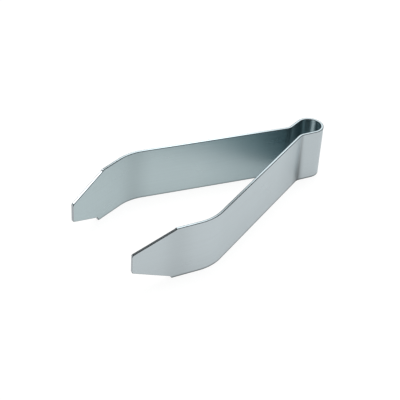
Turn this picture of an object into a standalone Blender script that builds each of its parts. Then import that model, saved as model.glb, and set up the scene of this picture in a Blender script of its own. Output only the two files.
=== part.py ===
"""Fish bone tweezers: one strip of spring steel, cut flat, bent, and standing on its long edges.

Each piece is drawn as a flat blank, with its length along X, its thickness along Y and its width
along Z. The blank is then bent in plan, in the XY plane, along the middle of its thickness. The
bow is at -X, the jaw tips are at +X, and the two arms mirror each other across the XZ plane. The
part is centred on the origin and rests on Z = 0. Lengths are in metres.
"""

from math import atan, asin, cos, hypot, pi, radians, sin, tan

import bmesh
import bpy
from mathutils import Vector

# The strip
STRIP_WIDTH = 0.020
STRIP_THICKNESS = 0.001
EDGE_RADIUS = 0.00015

# The spring bow: a loop that draws in to a neck, where a crease each side turns into an arm
BOW_INNER_RADIUS = 0.00415
FLANK_LENGTH = 0.0062
NECK_GAP = 0.0050
CREASE_INNER_RADIUS = 0.0035

# The arms, along the middle of the strip's thickness from bend corner to bend corner
ARM_ANGLE = radians(19.3)
ARM_LENGTH = 0.0617
ELBOW_ANGLE = radians(32.5)
ELBOW_INNER_RADIUS = 0.0165
JAW_LENGTH = 0.0293

# The jaws taper by a long cut above and below, from the tip back to a small shoulder. Each cut has
# its own length and depth of shoulder: below, the cuts stop sooner, most of all on the right jaw.
UPPER_CUT_LENGTH = 0.0150
UPPER_SHOULDER_DEPTH = 0.0004
LEFT_LOWER_CUT_LENGTH = 0.0138
LEFT_LOWER_SHOULDER_DEPTH = 0.0009
RIGHT_LOWER_CUT_LENGTH = 0.0122
RIGHT_LOWER_SHOULDER_DEPTH = 0.0015
SHOULDER_LENGTH = 0.0006
SHOULDER_RADIUS = 0.0003
TIP_WIDTH = 0.0071
TIP_CORNER_RADIUS = 0.0008

# Where an arm flexes against the bow: the strip left straight between the crease and the seam,
# and the gap at the seam
SEAM_SETBACK = 0.0006
SEAM_GAP = 0.0003

# How finely round forms are drawn, and the angles from which an edge is broken or shaded sharp
ARC_STEP = radians(5)
EDGE_STEPS = 2
CORNER_STEPS = 5
BROKEN_FROM = radians(60)
SHARP_FROM = radians(30)

# Brushed stainless steel
STEEL_COLOUR = (0.62, 0.65, 0.66, 1.0)
STEEL_ROUGHNESS = 0.34

HALF_STRIP = STRIP_THICKNESS / 2
TOUCHING = STRIP_THICKNESS / 1000
LEFT = 1
RIGHT = -1


def clear_scene():
    for obj in list(bpy.data.objects):
        bpy.data.objects.remove(obj)


# Directions in plan


def direction(angle):
    return Vector((cos(angle), sin(angle)))


def left_of(angle):
    return Vector((-sin(angle), cos(angle)))


# Sizes that follow from the ones above


def middle_radius(inner_radius):
    return inner_radius + HALF_STRIP


def setback(radius, turn):
    """How far from its sharp corner a round bend begins."""
    return radius * tan(turn / 2)


def neck_half_width():
    return NECK_GAP / 2 + HALF_STRIP


def flank_lean():
    """How far a flank leans outwards from the neck, so that it runs smoothly into the loop."""
    radius = middle_radius(BOW_INNER_RADIUS)
    return atan(radius / FLANK_LENGTH) - asin(neck_half_width() / hypot(radius, FLANK_LENGTH))


def crease_turn():
    return ARM_ANGLE + flank_lean()


def crease_setback():
    return setback(middle_radius(CREASE_INNER_RADIUS), crease_turn())


def pivot_distance():
    """From the neck's corner along the arm to the middle of the seam, where the arm flexes."""
    return crease_setback() + SEAM_SETBACK + SEAM_GAP / 2


def bow_reach():
    """From the neck back to the outside of the loop."""
    radius = middle_radius(BOW_INNER_RADIUS)
    centre = (radius ** 2 + FLANK_LENGTH ** 2 - neck_half_width() ** 2) ** 0.5
    return centre + radius + HALF_STRIP


def tip_reach():
    """From the neck forward to the furthest point of the rounded tip edge."""
    inward = ELBOW_ANGLE - ARM_ANGLE
    middle = ARM_LENGTH * cos(ARM_ANGLE) + JAW_LENGTH * cos(inward)
    return middle + (HALF_STRIP - EDGE_RADIUS) * sin(inward) + EDGE_RADIUS * (1 - cos(inward))


def pivot(side):
    """The hinge of one arm, placed so that the whole part is centred on X = 0."""
    neck = Vector(((bow_reach() - tip_reach()) / 2, neck_half_width()))
    left = neck + direction(ARM_ANGLE) * pivot_distance()
    return Vector((left.x, left.y * side))


# The flat blank


def cut_blank(outline):
    """A flat closed plate from an outline of (distance, height) corners."""
    bm = bmesh.new()
    corners = [bm.verts.new((distance, -HALF_STRIP, height)) for distance, height in outline]
    plate = bmesh.ops.extrude_face_region(bm, geom=[bm.faces.new(corners)])["geom"]
    raised = [item for item in plate if isinstance(item, bmesh.types.BMVert)]
    bmesh.ops.translate(bm, vec=(0, STRIP_THICKNESS, 0), verts=raised)
    bmesh.ops.recalc_face_normals(bm, faces=list(bm.faces))
    return bm


def is_at(edge, distance, height):
    """Whether an edge runs through the plate at a corner of its outline."""
    corner = Vector((distance, height))
    return all((vert.co.xz - corner).length < TOUCHING for vert in edge.verts)


def round_corners(bm, corners, radius):
    """Rounds corners of the plate's outline, each by the arc that its own angle needs."""
    for distance, height in corners:
        edge = next(edge for edge in bm.edges if is_at(edge, distance, height))
        offset = setback(radius, edge.calc_face_angle())
        bmesh.ops.bevel(bm, geom=[edge], offset=offset, segments=CORNER_STEPS, profile=0.5, affect="EDGES")


def break_edges(bm, seams):
    """Rounds every sharp edge of the plate, apart from those round its seam faces."""
    sharp = []
    for edge in bm.edges:
        on_seam = any(all(abs(vert.co.x - seam) < TOUCHING for vert in edge.verts) for seam in seams)
        if edge.calc_face_angle() > BROKEN_FROM and not on_seam:
            sharp.append(edge)
    bmesh.ops.bevel(bm, geom=sharp, offset=EDGE_RADIUS, segments=EDGE_STEPS, profile=0.5, affect="EDGES")


# Bending. A strip's course is a list of stretches, each a length and the angle that it turns by,
# to the left where that is positive.


def course_length(course):
    return sum(length for length, turn in course)


def round_bend(radius, turn):
    return (radius * abs(turn), turn)


def walk(course, distance, point, heading):
    """The middle of the strip and its heading, a distance along its course from a start."""
    for length, turn in course:
        step = min(distance, length)
        swing = turn * step / length
        if turn:
            radius = length / turn
            centre = point + left_of(heading) * radius
            point = centre - left_of(heading + swing) * radius
        else:
            point = point + direction(heading) * step
        heading += swing
        distance -= step
    return point, heading


def score(bm, course):
    """Cuts the plate's faces across wherever a bend starts, steps on and ends."""
    reached = 0
    for length, turn in course:
        steps = max(2, round(abs(turn) / ARC_STEP)) if turn else 1
        for step in range(1, steps + 1):
            mark = (reached + length * step / steps, 0, 0)
            everything = list(bm.verts) + list(bm.edges) + list(bm.faces)
            bmesh.ops.bisect_plane(bm, geom=everything, dist=TOUCHING, plane_co=mark, plane_no=(1, 0, 0))
        reached += length


def bend(bm, course, start, heading):
    """Bends a flat plate along its course."""
    score(bm, course)
    for vert in bm.verts:
        point, facing = walk(course, vert.co.x, start, heading)
        point = point + left_of(facing) * vert.co.y
        vert.co.x = point.x
        vert.co.y = point.y


# The pieces


def steel(name):
    material = bpy.data.materials.new(name)
    material.use_nodes = True
    shader = material.node_tree.nodes["Principled BSDF"]
    shader.inputs["Base Color"].default_value = STEEL_COLOUR
    shader.inputs["Roughness"].default_value = STEEL_ROUGHNESS
    shader.inputs["Metallic"].default_value = 1.0
    return material


def add_piece(name, bm):
    mesh = bpy.data.meshes.new(name)
    bm.to_mesh(mesh)
    bm.free()
    mesh.shade_smooth()
    mesh.set_sharp_from_angle(angle=SHARP_FROM)
    mesh.materials.append(steel(name))
    piece = bpy.data.objects.new(name, mesh)
    bpy.context.scene.collection.objects.link(piece)
    return piece


def make_spring_bow():
    """The loop, its flanks and both creases, from the right arm's seam round to the left arm's."""
    lead = (SEAM_SETBACK, 0)
    crease = round_bend(middle_radius(CREASE_INNER_RADIUS), crease_turn())
    flank = (FLANK_LENGTH - crease_setback(), 0)
    loop = round_bend(middle_radius(BOW_INNER_RADIUS), -(pi + 2 * flank_lean()))
    course = [lead, crease, flank, loop, flank, crease, lead]
    length = course_length(course)
    bm = cut_blank([(0, 0), (length, 0), (length, STRIP_WIDTH), (0, STRIP_WIDTH)])
    break_edges(bm, seams=[0, length])
    start = pivot(RIGHT) - direction(-ARM_ANGLE) * SEAM_GAP / 2
    bend(bm, course, start, pi - ARM_ANGLE)
    return add_piece("spring_bow", bm)


def arm_edge(length, cut_length, shoulder_depth):
    """The upper edge of a flat arm: its seam corner, both ends of the shoulder and its tip corner."""
    foot = length - cut_length
    return [
        (SEAM_GAP / 2, STRIP_WIDTH),
        (foot - SHOULDER_LENGTH, STRIP_WIDTH),
        (foot, STRIP_WIDTH - shoulder_depth),
        (length, (STRIP_WIDTH + TIP_WIDTH) / 2),
    ]


def arm_outline(length, side):
    """The flat outline of an arm, from its seam to its tip, and the corners to be rounded."""
    lower_cut = (LEFT_LOWER_CUT_LENGTH, LEFT_LOWER_SHOULDER_DEPTH)
    if side == RIGHT:
        lower_cut = (RIGHT_LOWER_CUT_LENGTH, RIGHT_LOWER_SHOULDER_DEPTH)
    upper = arm_edge(length, UPPER_CUT_LENGTH, UPPER_SHOULDER_DEPTH)
    lower = [(distance, STRIP_WIDTH - height) for distance, height in arm_edge(length, *lower_cut)]
    return upper + lower[::-1], [upper[3], lower[3]], upper[1:3] + lower[1:3]


def make_arm(name, side):
    """An arm drawn along +X from its pivot, then turned about that pivot to its resting angle."""
    radius = middle_radius(ELBOW_INNER_RADIUS)
    spent = setback(radius, ELBOW_ANGLE)
    grip = (ARM_LENGTH - pivot_distance() - spent, 0)
    elbow = round_bend(radius, -ELBOW_ANGLE * side)
    jaw = (JAW_LENGTH - spent, 0)
    course = [grip, elbow, jaw]
    outline, tip_corners, shoulder_corners = arm_outline(course_length(course), side)
    bm = cut_blank(outline)
    round_corners(bm, tip_corners, TIP_CORNER_RADIUS)
    round_corners(bm, shoulder_corners, SHOULDER_RADIUS)
    break_edges(bm, seams=[SEAM_GAP / 2])
    bend(bm, course, Vector((0, 0)), 0)
    arm = add_piece(name, bm)
    place = pivot(side)
    arm.location = (place.x, place.y, 0)
    arm.rotation_euler.z = ARM_ANGLE * side
    return arm


def make_tweezers():
    clear_scene()
    make_spring_bow()
    make_arm("left_arm", LEFT)
    make_arm("right_arm", RIGHT)


make_tweezers()
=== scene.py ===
from math import asin, atan, atan2, ceil, cos, hypot, pi, radians, sin, tan

import bmesh
import bpy
from mathutils import Matrix, Vector


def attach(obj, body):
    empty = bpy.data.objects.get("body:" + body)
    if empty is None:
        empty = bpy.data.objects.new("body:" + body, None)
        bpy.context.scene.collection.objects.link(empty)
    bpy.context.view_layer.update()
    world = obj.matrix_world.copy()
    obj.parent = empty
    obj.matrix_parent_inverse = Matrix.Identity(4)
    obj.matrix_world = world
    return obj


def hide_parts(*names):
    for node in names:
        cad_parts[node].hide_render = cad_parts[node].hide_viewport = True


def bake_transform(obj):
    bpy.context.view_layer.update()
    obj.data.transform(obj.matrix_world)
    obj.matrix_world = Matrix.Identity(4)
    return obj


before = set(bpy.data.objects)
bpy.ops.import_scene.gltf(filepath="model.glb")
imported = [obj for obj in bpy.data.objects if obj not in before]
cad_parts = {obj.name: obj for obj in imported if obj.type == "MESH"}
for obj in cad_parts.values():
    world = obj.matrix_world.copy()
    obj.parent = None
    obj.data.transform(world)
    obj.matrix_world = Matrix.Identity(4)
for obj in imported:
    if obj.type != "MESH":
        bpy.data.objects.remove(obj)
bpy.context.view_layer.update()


# The spring bow
# The middle of one strip of stainless spring steel, 20 mm wide and 1 mm thick, brushed along its
# length. It is blanked flat, its cut edges are broken, and then this loop is rolled into it, which
# holds the arms apart. It ends halfway along its flanks, where the strip is flat.

STRIP_WIDTH = 0.020
STRIP_THICKNESS = 0.001
EDGE_RADIUS = 0.00015
BOW_RADIUS = 0.00465
FLANK_LENGTH = 0.0062
FLANK_CUT = 0.0030
NECK_HALF_WIDTH = 0.0030
NECK_X = -0.0372732

half_width = STRIP_WIDTH / 2
neck_to_centre = hypot(BOW_RADIUS, FLANK_LENGTH)
flank_lean = atan(BOW_RADIUS / FLANK_LENGTH) - asin(NECK_HALF_WIDTH / neck_to_centre)
loop_turn = pi + 2 * flank_lean
half_bow = BOW_RADIUS * loop_turn / 2 + FLANK_LENGTH - FLANK_CUT
flank_cut_x = NECK_X - FLANK_CUT * cos(flank_lean)
flank_cut_y = NECK_HALF_WIDTH + FLANK_CUT * sin(flank_lean)

# How finely the strip is drawn: the rings along it, the steps round its edges and corners, where
# rows stand on its cut edges and faces, and the angle from which it is shaded sharp
RING_SPACING = 0.00025
EDGE_STEPS = 5
CORNER_STEPS = 6
RIM_SUPPORT = 0.92
FACE_ROWS = (0.015, 0.3, 0.5, 0.7, 0.985)
SHARP_FROM = radians(40)

# Where each surface lies in the second coordinate of the strip's UV map
OUTER_FACE = 0.0
INNER_FACE = 0.05
UPPER_RIM = 0.10
LOWER_RIM = 0.12
STRIP_END = 0.14


def walk_edge(corners, rings):
    """Points along a strip's edge, each with its outward direction, in the given rings per stretch.

    The edge is given by corners of (distance, height, radius), and ends in its last round corner.
    """
    walked = []
    points = [Vector(corner[:2]) for corner in corners]
    start = points[0]
    stretches = zip(points, points[1:], points[2:], corners[1:], rings)
    for before, corner, after, (_, _, radius), count in stretches:
        into = (corner - before).normalized()
        out = (after - corner).normalized()
        turn = atan2(into.x * out.y - into.y * out.x, into.dot(out))
        setback = radius * tan(abs(turn) / 2)
        outward = Vector((-into.y, into.x))
        end = corner - into * setback
        walked += [(start.lerp(end, step / count), outward) for step in range(count)]
        to_centre = radius * (1 if turn > 0 else -1)
        centre = end + outward * to_centre
        for step in range(CORNER_STEPS + 1):
            facing = outward.copy()
            facing.rotate(Matrix.Rotation(turn * step / CORNER_STEPS, 2))
            walked.append((centre - facing * to_centre, facing))
        start = corner + out * setback
    return walked


def edge_layers():
    """Layers through the thickness: offset from the middle, and how far the round draws them in."""
    half = STRIP_THICKNESS / 2
    layers = []
    for step in range(EDGE_STEPS + 1):
        angle = pi / 2 * (1 - step / EDGE_STEPS)
        layers.append((half - EDGE_RADIUS * (1 - sin(angle)), EDGE_RADIUS * (1 - cos(angle))))
    layers.append(((half - EDGE_RADIUS) * RIM_SUPPORT, 0.0))
    return layers + [(-offset, drawn_in) for offset, drawn_in in reversed(layers)]


def flat_blank(name, upper_edge, lower_edge, round_end, run_start, run_side, outer_side):
    """A flat strip lofted along X. Its UV is the distance along the whole strip and across it."""
    layers = edge_layers()
    bm = bmesh.new()
    grain = bm.loops.layers.uv.new("grain")
    cut_edge = bm.verts.layers.float.new("cut_edge")
    rings = []
    for (above, above_facing), (below, below_facing) in zip(upper_edge, lower_edge):
        upper = []
        lower = []
        for offset, drawn_in in layers:
            x, z = above - above_facing * drawn_in
            upper.append(bm.verts.new((x, offset, z)))
            x, z = below - below_facing * drawn_in
            lower.append(bm.verts.new((x, offset, -z)))
        for vert in upper[1:-1] + lower[1:-1]:
            vert[cut_edge] = 1.0
        back_rows = [bm.verts.new(upper[-1].co.lerp(lower[-1].co, share)) for share in FACE_ROWS]
        front_rows = [bm.verts.new(lower[0].co.lerp(upper[0].co, share)) for share in FACE_ROWS]
        rings.append((upper, back_rows, lower[::-1], front_rows))

    def across(vert, zone):
        """The second coordinate of a corner, kept apart for each face and each cut edge."""
        if zone == "outer":
            return OUTER_FACE + vert.co.z
        if zone == "inner":
            return INNER_FACE - vert.co.z
        if zone == "end":
            return STRIP_END + vert.co.y
        return (UPPER_RIM if vert.co.z > 0 else LOWER_RIM) + vert.co.y

    def add_face(verts, zone):
        face = bm.faces.new(verts)
        for loop in face.loops:
            run = run_side * (run_start + loop.vert.co.x)
            loop[grain].uv = (run, across(loop.vert, zone))

    loops = [sum(ring, []) for ring in rings]
    size = len(loops[0])
    rim = len(layers)
    side = rim + len(FACE_ROWS)
    zone_of = {}
    for index in range(size):
        on_rim = index % side < rim - 1
        is_front = index >= side
        zone_of[index] = "rim" if on_rim else "outer" if is_front == (outer_side > 0) else "inner"
    for near, far in zip(loops, loops[1:]):
        for index in range(size):
            following = (index + 1) % size
            corners = (near[index], near[following], far[following], far[index])
            add_face(corners, zone_of[index])
    add_face(loops[0][::-1], "end")
    if round_end:
        upper, back_rows, lower, front_rows = rings[-1]
        lower = lower[::-1]
        add_face([upper[0], upper[1], lower[1], lower[0]] + front_rows, "end")
        for step in range(1, rim - 2):
            add_face([upper[step], upper[step + 1], lower[step + 1], lower[step]], "end")
        add_face([upper[-2], upper[-1]] + back_rows + [lower[-1], lower[-2]], "end")
    else:
        add_face(loops[-1], "end")
    bmesh.ops.recalc_face_normals(bm, faces=list(bm.faces))
    mesh = bpy.data.meshes.new(name)
    bm.to_mesh(mesh)
    bm.free()
    return mesh


def add_node(tree, kind, feeds=None, **settings):
    """Adds a node with its settings, and feeds its inputs from values or other nodes' sockets."""
    made = tree.nodes.new(kind)
    for key, value in settings.items():
        setattr(made, key, value)
    for key, feed in (feeds or {}).items():
        if isinstance(feed, bpy.types.NodeSocket):
            tree.links.new(feed, made.inputs[key])
        else:
            made.inputs[key].default_value = feed
    return made


def calc(tree, operation, first, second=0.0):
    feeds = {0: first, 1: second}
    return add_node(tree, "ShaderNodeMath", feeds, operation=operation).outputs[0]


def vector_calc(tree, operation, first, second):
    feeds = {0: first, 1: second}
    return add_node(tree, "ShaderNodeVectorMath", feeds, operation=operation).outputs[0]


def add_inputs(tree, *wanted):
    for name, kind in wanted:
        tree.interface.new_socket(name, in_out="INPUT", socket_type=kind)


def bend_group():
    """Nodes for one bend: the strip is unchanged up to it, wraps round it, and runs on straight."""
    tree = bpy.data.node_groups.new("one bend", "GeometryNodeTree")
    add_inputs(tree, ("Strip", "NodeSocketGeometry"))
    for size in ("Run", "Start", "Radius", "Turn"):
        add_inputs(tree, (size, "NodeSocketFloat"))
    tree.interface.new_socket("Strip", in_out="OUTPUT", socket_type="NodeSocketGeometry")
    given = tree.nodes.new("NodeGroupInput").outputs
    length = calc(tree, "MULTIPLY", given["Radius"], calc(tree, "ABSOLUTE", given["Turn"]))
    reached = calc(tree, "SUBTRACT", given["Run"], given["Start"])
    wrapped = calc(tree, "MAXIMUM", calc(tree, "MINIMUM", reached, length), 0.0)
    side_radius = calc(tree, "MULTIPLY", given["Radius"], calc(tree, "SIGN", given["Turn"]))
    swing = calc(tree, "DIVIDE", wrapped, side_radius)
    unwrapped = calc(tree, "ADD", given["Start"], wrapped)
    flat_centre = add_node(tree, "ShaderNodeCombineXYZ", {0: unwrapped, 1: side_radius}).outputs[0]
    centre = add_node(tree, "ShaderNodeCombineXYZ", {0: given["Start"], 1: side_radius}).outputs[0]
    place = tree.nodes.new("GeometryNodeInputPosition").outputs[0]
    feeds = {"Vector": vector_calc(tree, "SUBTRACT", place, flat_centre), "Angle": swing}
    turned = add_node(tree, "ShaderNodeVectorRotate", feeds, rotation_type="Z_AXIS").outputs[0]
    bent = vector_calc(tree, "ADD", turned, centre)
    feeds = {"Geometry": given["Strip"], "Position": bent}
    moved = add_node(tree, "GeometryNodeSetPosition", feeds).outputs[0]
    add_node(tree, "NodeGroupOutput", {0: moved})
    return tree


def bent_strip_tree():
    """Makes the bend nearer a flat blank's far end, then the other, and sets the strip in place."""
    one_bend = bend_group()
    tree = bpy.data.node_groups.new("bent strip", "GeometryNodeTree")
    add_inputs(tree, ("Blank", "NodeSocketGeometry"))
    for which in ("Far bend", "Near bend"):
        for size in ("start", "radius", "turn"):
            add_inputs(tree, (f"{which} {size}", "NodeSocketFloat"))
    add_inputs(tree, ("Place", "NodeSocketVector"), ("Heading", "NodeSocketFloat"))
    add_inputs(tree, ("Steel", "NodeSocketMaterial"))
    tree.interface.new_socket("Strip", in_out="OUTPUT", socket_type="NodeSocketGeometry")
    given = tree.nodes.new("NodeGroupInput").outputs
    place = tree.nodes.new("GeometryNodeInputPosition").outputs[0]
    flat_x = add_node(tree, "ShaderNodeSeparateXYZ", {0: place}).outputs[0]
    keep = tree.nodes.new("GeometryNodeCaptureAttribute")
    keep.capture_items.new("FLOAT", "Run")
    tree.links.new(given["Blank"], keep.inputs[0])
    tree.links.new(flat_x, keep.inputs[1])
    strip, run = keep.outputs[0], keep.outputs[1]
    for which in ("Far bend", "Near bend"):
        feeds = {"Strip": strip, "Run": run, "Start": given[f"{which} start"]}
        feeds.update({"Radius": given[f"{which} radius"], "Turn": given[f"{which} turn"]})
        bend = add_node(tree, "GeometryNodeGroup", node_tree=one_bend)
        for key, feed in feeds.items():
            tree.links.new(feed, bend.inputs[key])
        strip = bend.outputs[0]
    facing = add_node(tree, "ShaderNodeCombineXYZ", {2: given["Heading"]}).outputs[0]
    feeds = {"Geometry": strip, "Translation": given["Place"], "Rotation": facing}
    placed = add_node(tree, "GeometryNodeTransform", feeds).outputs[0]
    real = add_node(tree, "GeometryNodeRealizeInstances", {"Geometry": placed}).outputs[0]
    done = add_node(tree, "GeometryNodeSetMaterial", {"Geometry": real, "Material": given["Steel"]})
    add_node(tree, "NodeGroupOutput", {0: done.outputs[0]})
    return tree


def bend_blank(name, blank, sizes):
    """Bends a flat blank by the bent strip's tree and keeps the result as a plain mesh."""
    piece = bpy.data.objects.new(name, blank)
    bpy.context.scene.collection.objects.link(piece)
    bending = piece.modifiers.new("bent strip", "NODES")
    bending.node_group = strip_tree
    for item in strip_tree.interface.items_tree:
        if item.in_out == "INPUT" and item.name in sizes:
            bending[item.identifier] = sizes[item.name]
    graph = bpy.context.evaluated_depsgraph_get()
    bent = bpy.data.meshes.new_from_object(piece.evaluated_get(graph))
    piece.modifiers.clear()
    piece.data = bent
    bpy.data.meshes.remove(blank)
    bent.name = name
    bent.shade_smooth()
    bent.set_sharp_from_angle(angle=SHARP_FROM)
    return piece


# The steel's colours outside and on its cut edges, its inner faces' colour darkened as painted
# shade, most of all inside the bow, and its gloss, with the quarter turn that draws highlights out
# across the grain
STEEL_COLOUR = (0.536, 0.609, 0.640)
SHADED_INNER_COLOUR = (0.478, 0.580, 0.604)
BOW_INSIDE_SHADE_COLOUR = (0.322, 0.420, 0.447)
BOW_INSIDE_SHADE_RUNS = (0.014, 0.053)
EDGE_COLOUR = (0.536, 0.579, 0.614)
GRAZING_TINT = (0.87, 0.90, 0.91, 1.0)
STEEL_ROUGHNESS = 0.30
EDGE_ROUGHNESS = 0.09
STEEL_ANISOTROPY = 0.55
GRAIN_TURN = 0.25

# Its patterns: the waves in a metre each way and the detail of each, then how much they swing the
# tone and the gloss, and how high the grain stands
HAIRLINES = ((110.0, 8000.0, 0.0), 2.0)
STREAKS = ((30.0, 1500.0, 0.0), 3.0)
HAZE = ((130.0, 130.0, 90.0), 3.0)
SHEAR_MARKS = ((5000.0, 300.0, 0.0), 2.0)
HAIRLINE_TONE = 0.08
STREAK_TONE = 0.10
HAZE_TONE = 0.06
STREAK_GLOSS = 0.35
HAZE_GLOSS = 0.30
SHEAR_GLOSS = 0.4
SHEAR_RELIEF = 0.3
GRAIN_HEIGHT = 0.000003
GRAIN_STRENGTH = 0.5

# Where shade is painted into its tone: how far along from the back of the bow, in from a lower edge
# or off the middle of a cut edge, how far the painted shade reaches there, and the share that it
# takes off
CREASE_RUN = 0.01461
CREASE_LINE_REACH = 0.0014
CREASE_LINE_DEPTH = 0.30
CREASE_FOOT_REACH = 0.0028
CREASE_FOOT_DEPTH = 0.36
CREASE_SHADE_RUN = 0.0164
CREASE_SHADE_REACH = 0.0034
CREASE_SHADE_DEPTH = 0.30
BOW_OUTSIDE_SHADE_RUNS = (0.018, 0.034)
BOW_OUTSIDE_SHADE_DEPTH = 0.08
BAND_REACH = 0.0080
INNER_BAND_RUN = 0.0746
INNER_BAND_DEPTH = 0.14
OUTER_BAND_RUN = 0.0892
OUTER_BAND_DEPTH = 0.09
LOWER_LINE = (0.00035, 0.00080)
OUTER_LINE_DEPTH = 0.60
INNER_LINE_DEPTH = 0.38
PAINTED_CORNER_SHADE = (0.00031, 0.00024)
PAINTED_CORNER_SHADE_DEPTH = 0.88
TIP_EDGE_DEPTH = 0.30


def brushed_steel():
    """Stainless steel brushed along the strip, smooth-edged, with shade painted inside, at the
    creases and along its edges.
    """
    material = bpy.data.materials.new("brushed stainless steel")
    material.use_nodes = True
    tree = material.node_tree
    shader = tree.nodes["Principled BSDF"]
    uv = add_node(tree, "ShaderNodeUVMap", uv_map="grain").outputs[0]
    solid = tree.nodes.new("ShaderNodeTexCoord").outputs["Object"]

    def noise(coordinates, stretch, detail):
        stretched = vector_calc(tree, "MULTIPLY", coordinates, stretch)
        feeds = {"Vector": stretched, "Scale": 1.0, "Detail": detail}
        return add_node(tree, "ShaderNodeTexNoise", feeds).outputs["Fac"]

    def swing(value, amount):
        """Turns a 0 to 1 pattern into a factor round 1."""
        return calc(tree, "ADD", calc(tree, "MULTIPLY", value, amount), 1.0 - amount / 2)

    hairlines = noise(uv, *HAIRLINES)
    streaks = noise(uv, *STREAKS)
    haze = noise(solid, *HAZE)
    shear_marks = noise(uv, *SHEAR_MARKS)
    cut = add_node(tree, "ShaderNodeAttribute", attribute_name="cut_edge").outputs["Fac"]
    face = calc(tree, "SUBTRACT", 1.0, cut)

    def fade(value, full, gone):
        """1 up to one value, fading smoothly to 0 at another."""
        feeds = {"Value": value, "From Min": full, "From Max": gone, "To Min": 1.0, "To Max": 0.0}
        faded = add_node(tree, "ShaderNodeMapRange", feeds, interpolation_type="SMOOTHSTEP")
        return faded.outputs[0]

    def darken(tone, depth, *where):
        """Takes a share off a tone where all the given patterns are 1."""
        for pattern in where:
            depth = calc(tree, "MULTIPLY", depth, pattern)
        return calc(tree, "MULTIPLY", tone, calc(tree, "SUBTRACT", 1.0, depth))

    def distance_to(value, place):
        return calc(tree, "ABSOLUTE", calc(tree, "SUBTRACT", value, place))

    run, across, _ = add_node(tree, "ShaderNodeSeparateXYZ", {0: uv}).outputs
    from_back = calc(tree, "ABSOLUTE", run)
    outside = calc(tree, "LESS_THAN", distance_to(across, OUTER_FACE), STRIP_WIDTH)
    inside = calc(tree, "LESS_THAN", distance_to(across, INNER_FACE), STRIP_WIDTH)
    on_rim = calc(tree, "LESS_THAN", distance_to(across, (UPPER_RIM + LOWER_RIM) / 2), STRIP_WIDTH)
    lower_down = fade(across, -half_width, half_width)
    crease_line = fade(distance_to(from_back, CREASE_RUN), 0.0, CREASE_LINE_REACH)
    crease_foot = fade(distance_to(from_back, CREASE_RUN), 0.0, CREASE_FOOT_REACH)
    crease_shade = fade(distance_to(from_back, CREASE_SHADE_RUN), 0.0, CREASE_SHADE_REACH)
    off_upper, off_lower = distance_to(across, UPPER_RIM), distance_to(across, LOWER_RIM)
    off_middle = calc(tree, "MINIMUM", off_upper, off_lower)
    shade = calc(tree, "MULTIPLY", swing(streaks, STREAK_TONE), swing(hairlines, HAIRLINE_TONE))
    shade = calc(tree, "MULTIPLY", shade, swing(haze, HAZE_TONE))
    # Painted shade: the crease line and its foot, the steel beside the crease and the outside of
    # the bow
    shade = darken(shade, CREASE_LINE_DEPTH, outside, crease_line)
    shade = darken(shade, CREASE_FOOT_DEPTH, outside, crease_foot, lower_down)
    shade = darken(shade, CREASE_SHADE_DEPTH, outside, crease_shade, lower_down)
    shade = darken(shade, BOW_OUTSIDE_SHADE_DEPTH, outside, fade(from_back, *BOW_OUTSIDE_SHADE_RUNS))
    # Painted shade along the lower edges of both faces, standing in for the board's mirrored
    # contact shadow
    outer_line = fade(distance_to(across, OUTER_FACE - half_width), *LOWER_LINE)
    shade = darken(shade, OUTER_LINE_DEPTH, outer_line)
    inner_line = fade(distance_to(across, INNER_FACE + half_width), *LOWER_LINE)
    shade = darken(shade, INNER_LINE_DEPTH, inner_line)
    # Painted shade: a band across the inner face at the elbow and one across the jaws' outer face
    inner_band = fade(distance_to(from_back, INNER_BAND_RUN), 0.0, BAND_REACH)
    outer_band = fade(distance_to(from_back, OUTER_BAND_RUN), 0.0, BAND_REACH)
    shade = darken(shade, INNER_BAND_DEPTH, inside, inner_band)
    shade = darken(shade, OUTER_BAND_DEPTH, outside, outer_band)
    # Painted shade on the rounded corners of the cut edges, leaving the middle of each cut edge
    # bright
    shade = darken(shade, PAINTED_CORNER_SHADE_DEPTH, on_rim, fade(off_middle, *PAINTED_CORNER_SHADE))
    # Painted shade on the tips' end faces
    at_tip = calc(tree, "LESS_THAN", distance_to(across, STRIP_END), STRIP_THICKNESS)
    shade = darken(shade, TIP_EDGE_DEPTH, at_tip)
    # Painted shade: the inner faces take a darker copy of the steel colour, darkest inside the bow
    feeds = {0: fade(from_back, *BOW_INSIDE_SHADE_RUNS), 4: SHADED_INNER_COLOUR, 5: BOW_INSIDE_SHADE_COLOUR}
    inside_shade_colour = add_node(tree, "ShaderNodeMix", feeds, data_type="VECTOR").outputs[1]
    feeds = {0: inside, 4: STEEL_COLOUR, 5: inside_shade_colour}
    face_colour = add_node(tree, "ShaderNodeMix", feeds, data_type="VECTOR").outputs[1]
    feeds = {0: cut, 4: face_colour, 5: EDGE_COLOUR}
    colour = add_node(tree, "ShaderNodeMix", feeds, data_type="VECTOR").outputs[1]
    feeds = {0: colour, 3: shade}
    tone = add_node(tree, "ShaderNodeVectorMath", feeds, operation="SCALE").outputs[0]
    tree.links.new(tone, shader.inputs["Base Color"])

    faces = calc(tree, "MULTIPLY", swing(streaks, STREAK_GLOSS), swing(haze, HAZE_GLOSS))
    faces = calc(tree, "MULTIPLY", calc(tree, "MULTIPLY", faces, STEEL_ROUGHNESS), face)
    edges = calc(tree, "MULTIPLY", swing(shear_marks, SHEAR_GLOSS), EDGE_ROUGHNESS)
    edges = calc(tree, "MULTIPLY", edges, cut)
    tree.links.new(calc(tree, "ADD", faces, edges), shader.inputs["Roughness"])

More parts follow.
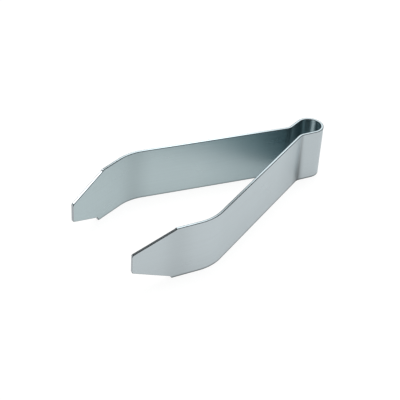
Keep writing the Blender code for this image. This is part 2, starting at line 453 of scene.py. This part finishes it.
    edge_relief = calc(tree, "MULTIPLY", calc(tree, "MULTIPLY", shear_marks, SHEAR_RELIEF), cut)
    relief = calc(tree, "ADD", calc(tree, "MULTIPLY", hairlines, face), edge_relief)
    feeds = {"Height": relief, "Distance": GRAIN_HEIGHT, "Strength": GRAIN_STRENGTH}
    bump = add_node(tree, "ShaderNodeBump", feeds).outputs[0]
    tree.links.new(bump, shader.inputs["Normal"])
    along = add_node(tree, "ShaderNodeTangent", direction_type="UV_MAP", uv_map="grain").outputs[0]
    tree.links.new(along, shader.inputs["Tangent"])
    shader.inputs["Metallic"].default_value = 1.0
    shader.inputs["Specular Tint"].default_value = GRAZING_TINT
    shader.inputs["Anisotropic"].default_value = STEEL_ANISOTROPY
    shader.inputs["Anisotropic Rotation"].default_value = GRAIN_TURN
    return material


strip_tree = bent_strip_tree()
steel = brushed_steel()

bow_length = 2 * half_bow
bow_rings = ceil(bow_length / RING_SPACING)
bow_edge = []
for ring in range(bow_rings + 1):
    point = Vector((bow_length * ring / bow_rings, half_width))
    bow_edge.append((point, Vector((0, 1))))
bow_blank = flat_blank("spring_bow_blank", bow_edge, bow_edge, False, -half_bow, 1, 1)
bow = bend_blank("bent_spring_bow", bow_blank, {
    "Far bend start": FLANK_LENGTH - FLANK_CUT,
    "Far bend radius": BOW_RADIUS,
    "Far bend turn": -loop_turn,
    "Near bend radius": BOW_RADIUS,
    "Place": (flank_cut_x, -flank_cut_y, half_width),
    "Heading": pi + flank_lean,
    "Steel": steel,
})
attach(bow, "spring_bow")
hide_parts("spring_bow")


# The arms
# The two ends of the same strip. Each is creased at the neck, runs out as a long flat grip, is bent
# gently inwards at the elbow and ends in a jaw, which is cut to a taper with a small shoulder at
# its start. The crease, which flexes when the arms are squeezed, is bent into these pieces.

CREASE_RADIUS = 0.0040
ARM_ANGLE = radians(19.3)
ARM_LENGTH = 0.0617
ELBOW_ANGLE = radians(32.5)
ELBOW_RADIUS = 0.0170
JAW_LENGTH = 0.0293
UPPER_CUT = (0.0150, 0.0004)
LOWER_CUTS = {"left_arm": (0.0138, 0.0009), "right_arm": (0.0122, 0.0015)}
SHOULDER_LENGTH = 0.0006
SHOULDER_RADIUS = 0.0003
SHOULDER_RINGS = 3
TIP_WIDTH = 0.0071
TIP_CORNER_RADIUS = 0.0008

crease_turn = ARM_ANGLE + flank_lean
crease_setback = CREASE_RADIUS * tan(crease_turn / 2)
crease_start = FLANK_CUT - crease_setback
crease_end = crease_start + CREASE_RADIUS * crease_turn
elbow_setback = ELBOW_RADIUS * tan(ELBOW_ANGLE / 2)
elbow_start = crease_end + ARM_LENGTH - crease_setback - elbow_setback
tip_run = elbow_start + ELBOW_RADIUS * ELBOW_ANGLE + JAW_LENGTH - elbow_setback
arm_rings = (ceil(tip_run / RING_SPACING), SHOULDER_RINGS, ceil(UPPER_CUT[0] / RING_SPACING))


def arm_edge(cut_length, shoulder_depth):
    """One edge of a flat arm, with its shoulder, its long cut and its tip corner."""
    foot = tip_run - cut_length
    return walk_edge([
        (0, half_width, 0),
        (foot - SHOULDER_LENGTH, half_width, SHOULDER_RADIUS),
        (foot, half_width - shoulder_depth, SHOULDER_RADIUS),
        (tip_run, TIP_WIDTH / 2, TIP_CORNER_RADIUS),
        (tip_run, 0, 0),
    ], arm_rings)


for side, name in ((1, "left_arm"), (-1, "right_arm")):
    upper_edge, lower_edge = arm_edge(*UPPER_CUT), arm_edge(*LOWER_CUTS[name])
    arm_blank = flat_blank(name + "_blank", upper_edge, lower_edge, True, half_bow, side, side)
    arm = bend_blank("bent_" + name, arm_blank, {
        "Far bend start": elbow_start,
        "Far bend radius": ELBOW_RADIUS,
        "Far bend turn": -ELBOW_ANGLE * side,
        "Near bend start": crease_start,
        "Near bend radius": CREASE_RADIUS,
        "Near bend turn": crease_turn * side,
        "Place": (flank_cut_x, flank_cut_y * side, half_width),
        "Heading": -flank_lean * side,
        "Steel": steel,
    })
    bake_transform(arm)
    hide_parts(name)


# The table top
# A plain white board that the tweezers stand on by their long edges. It isn't part of them. The
# camera sees it lifted to white, and so, a little less, does the steel that mirrors it. It keeps
# their shadow.

TABLE_SIZE = 3.0
TABLE_COLOUR = (0.90, 0.87, 0.86, 1.0)
SEEN_COLOUR = (1.0, 1.0, 1.0, 1.0)
SEEN_GLOW = 1.08
SEEN_SHARE = 0.78
MIRRORED_COLOUR = (1.0, 0.967, 0.956, 1.0)
MIRRORED_GLOW = 0.96
MIRRORED_SHARE = 0.70

half_table = TABLE_SIZE / 2
table_corners = [(-half_table, -half_table, 0), (half_table, -half_table, 0)]
table_corners += [(half_table, half_table, 0), (-half_table, half_table, 0)]
table_mesh = bpy.data.meshes.new("table_top")
table_mesh.from_pydata(table_corners, [], [(0, 1, 2, 3)])
table_top = bpy.data.objects.new("table_top", table_mesh)
bpy.context.scene.collection.objects.link(table_top)

table_paint = bpy.data.materials.new("white board")
table_paint.use_nodes = True
tree = table_paint.node_tree
tree.nodes.clear()
ray = tree.nodes.new("ShaderNodeLightPath").outputs
surface = add_node(tree, "ShaderNodeBsdfDiffuse", {"Color": TABLE_COLOUR}).outputs[0]
seen = ("Is Camera Ray", SEEN_SHARE, SEEN_COLOUR, SEEN_GLOW)
mirrored = ("Is Glossy Ray", MIRRORED_SHARE, MIRRORED_COLOUR, MIRRORED_GLOW)
for kind, share, colour, strength in (seen, mirrored):
    glow = add_node(tree, "ShaderNodeEmission", {"Color": colour, "Strength": strength}).outputs[0]
    lifted = calc(tree, "MULTIPLY", ray[kind], share)
    surface = add_node(tree, "ShaderNodeMixShader", {0: lifted, 1: surface, 2: glow}).outputs[0]
add_node(tree, "ShaderNodeOutputMaterial", {"Surface": surface})
table_mesh.materials.append(table_paint)


# The studio
# Soft daylight from every side and a softbox overhead. The walls to the left and in front are dim,
# and one low at the back is bright, most of all at its middle, with a thin dark gap across it. The
# camera itself sees plain white.

# The walls: their level and colour. Each patch that differs has the way to it, its share of that
# level, and the cosines at which it starts and is full.
WALL_LEVEL = 0.62
WALL_COLOUR = (0.92, 1.0, 1.0, 1.0)
DIM_LEFT = (Vector((0.0, -0.76, 0.65)), 0.30, 0.83, 0.93)
DIM_FRONT = (Vector((0.25, 0.90, 0.30)), 0.30, 0.60, 0.90)
GLOWING_BACK = (Vector((-0.40, -0.75, 0.50)), 2.35, 0.936, 0.9555)
BRIGHT_BACK = (Vector((-0.40, -0.75, 0.50)), 1.8, 0.960, 0.980)

# The gap: the way that it lies square to, how far off it is still full and then gone, and its share
GAP_FACING = Vector((0.4454, 0.3840, 0.8092))
GAP_REACH = (0.014, 0.026)
GAP_SHARE = 0.20

world = bpy.data.worlds.new("studio")
bpy.context.scene.world = world
world.use_nodes = True
tree = world.node_tree
tree.nodes.clear()
towards = tree.nodes.new("ShaderNodeTexCoord").outputs["Generated"]


def lean_to(direction):
    """How closely a ray heads in a direction, as the cosine of the angle between them."""
    feeds = {0: towards, 1: direction.normalized()}
    return add_node(tree, "ShaderNodeVectorMath", feeds, operation="DOT_PRODUCT").outputs["Value"]


level = WALL_LEVEL
for direction, share, edge, core in (DIM_LEFT, DIM_FRONT, GLOWING_BACK, BRIGHT_BACK):
    feeds = {"Value": lean_to(direction), "From Min": edge, "From Max": core}
    feeds.update({"To Min": 1.0, "To Max": share})
    patch = add_node(tree, "ShaderNodeMapRange", feeds, interpolation_type="SMOOTHSTEP").outputs[0]
    level = calc(tree, "MULTIPLY", level, patch)
full, gone = GAP_REACH
off_gap = calc(tree, "ABSOLUTE", lean_to(GAP_FACING))
feeds = {"Value": off_gap, "From Min": full, "From Max": gone, "To Min": GAP_SHARE}
gap = add_node(tree, "ShaderNodeMapRange", feeds).outputs[0]
level = calc(tree, "MULTIPLY", level, gap)
seen = tree.nodes.new("ShaderNodeLightPath").outputs["Is Camera Ray"]
walls = add_node(tree, "ShaderNodeBackground", {"Color": WALL_COLOUR, "Strength": level}).outputs[0]
white = tree.nodes.new("ShaderNodeBackground").outputs[0]
background = add_node(tree, "ShaderNodeMixShader", {0: seen, 1: walls, 2: white}).outputs[0]
add_node(tree, "ShaderNodeOutputWorld", {"Surface": background})

SOFTBOX_PLACE = Vector((-0.17, -0.14, 0.90))
SOFTBOX_SIZE = (0.84, 1.05)
SOFTBOX_RADIANCE = 2.7

lamp = bpy.data.lights.new("overhead_softbox", "AREA")
lamp.shape = "RECTANGLE"
lamp.size, lamp.size_y = SOFTBOX_SIZE
lamp.energy = SOFTBOX_RADIANCE * pi * SOFTBOX_SIZE[0] * SOFTBOX_SIZE[1]
softbox = bpy.data.objects.new("overhead_softbox", lamp)
softbox.location = SOFTBOX_PLACE
bpy.context.scene.collection.objects.link(softbox)


# The camera
# It looks down on the left arm's outer face from beyond the jaws, through a long lens, and is
# tilted a little.

VIEW_AZIMUTH = radians(138.38)
VIEW_ELEVATION = radians(35.98)
VIEW_ROLL = radians(3.71)
VIEW_DISTANCE = 0.38943
VIEW_TARGET = Vector((0.00933, 0.00244, 0.0100))
LENS_MM = 101.08
SENSOR_MM = 36.0

back = Vector((
    sin(VIEW_AZIMUTH) * cos(VIEW_ELEVATION),
    -cos(VIEW_AZIMUTH) * cos(VIEW_ELEVATION),
    sin(VIEW_ELEVATION),
))
level_right = Vector((cos(VIEW_AZIMUTH), sin(VIEW_AZIMUTH), 0))
level_up = back.cross(level_right)
right = level_right * cos(VIEW_ROLL) + level_up * sin(VIEW_ROLL)
up = level_up * cos(VIEW_ROLL) - level_right * sin(VIEW_ROLL)
lens = bpy.data.cameras.new("camera")
lens.lens = LENS_MM
lens.sensor_width = SENSOR_MM
camera = bpy.data.objects.new("camera", lens)
turn = Matrix((right, up, back)).transposed()
camera.matrix_world = Matrix.Translation(VIEW_TARGET + back * VIEW_DISTANCE) @ turn.to_4x4()
bpy.context.scene.collection.objects.link(camera)
bpy.context.scene.camera = camera
bpy.context.scene.view_settings.view_transform = "Standard"
